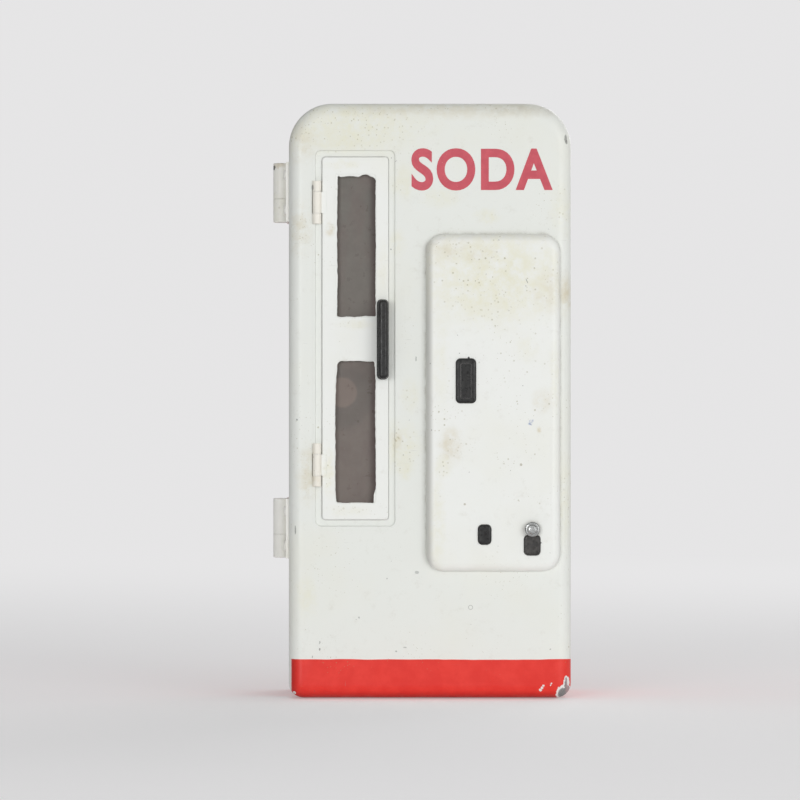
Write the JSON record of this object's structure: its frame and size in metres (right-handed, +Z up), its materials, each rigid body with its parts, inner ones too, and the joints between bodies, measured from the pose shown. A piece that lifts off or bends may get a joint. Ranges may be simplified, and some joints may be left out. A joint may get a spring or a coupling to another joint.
{
  "type": "vending machine miniature",
  "caption": "Die-cast miniature of an upright vintage bottle vending machine: hinged front door, narrow windowed bottle door with pull, raised coin panel, shelved bottle bay.",
  "frame": {"origin": "on the ground, under the middle of the closed case (width and depth of the two castings, without hinges and fittings)", "axes": "+Z up, the front faces -Y, +X is on the right of someone facing the front; the main hinges are on the -X side"},
  "size_m": [0.029, 0.019, 0.0578],
  "materials": {
    "cabinet_paint": "two-tone gloss paint, red sides and back with a white top, on a zinc casting",
    "door_paint": "gloss white paint with a red foot band, aged and chipped, on a zinc casting",
    "panel_paint": "gloss white paint, stained",
    "hinge_paint": "cream-white gloss paint",
    "bare_steel": "plain steel",
    "plated_steel": "dull nickel plate",
    "black_plastic": "black, satin gloss",
    "smoke_pane": "smoked clear plastic, hazy",
    "liner_plastic": "warm grey moulding",
    "rack_plastic": "dull red moulding",
    "bottle_glass": "pale green clear plastic",
    "cap_metal": "pale grey paint",
    "base_metal": "black paint",
    "magnet": "dark sintered magnet"
  },
  "bodies": {
    "cabinet": {"cabinet_shell": "cabinet_paint", "bay_liner": "liner_plastic", "bay_screws": "plated_steel", "bottle_rack": "rack_plastic", "bottles": "bottle_glass", "crown_caps": "cap_metal", "base_plate": "base_metal", "base_screws": "plated_steel", "rear_cover": "base_metal", "rear_cover_screws": "plated_steel", "catch_magnet": "magnet", "cabinet_hinge_rivets": "hinge_paint", "upper_hinge_cabinet_leaf": "hinge_paint", "lower_hinge_cabinet_leaf": "hinge_paint", "upper_hinge_pin": "bare_steel", "lower_hinge_pin": "bare_steel"},
    "front_door": {"door_shell": "door_paint", "coin_panel": "panel_paint", "coin_slot": "black_plastic", "coin_return": "black_plastic", "lock_escutcheon": "black_plastic", "lock_knob": "plated_steel", "door_liner": "liner_plastic", "door_liner_screws": "plated_steel", "strike_disc": "bare_steel", "door_hinge_rivets": "hinge_paint", "upper_hinge_door_leaf": "hinge_paint", "lower_hinge_door_leaf": "hinge_paint", "upper_bottle_door_pin": "bare_steel", "lower_bottle_door_pin": "bare_steel"},
    "bottle_door": {"bottle_door_leaf": "door_paint", "window_pane": "smoke_pane", "pull_handle": "black_plastic"}
  },
  "joints": [
    {"name": "front_door_hinge", "type": "hinge", "parent": "cabinet", "child": "front_door", "pos_m": [-0.01452, -0.00394, 0.0289], "axis": [0, 0, -1], "range_deg": [0, 120]},
    {"name": "bottle_door_hinge", "type": "hinge", "parent": "front_door", "child": "bottle_door", "pos_m": [-0.01095, -0.00822, 0.035], "axis": [0, 0, -1], "range_deg": [0, 100]}
  ]
}
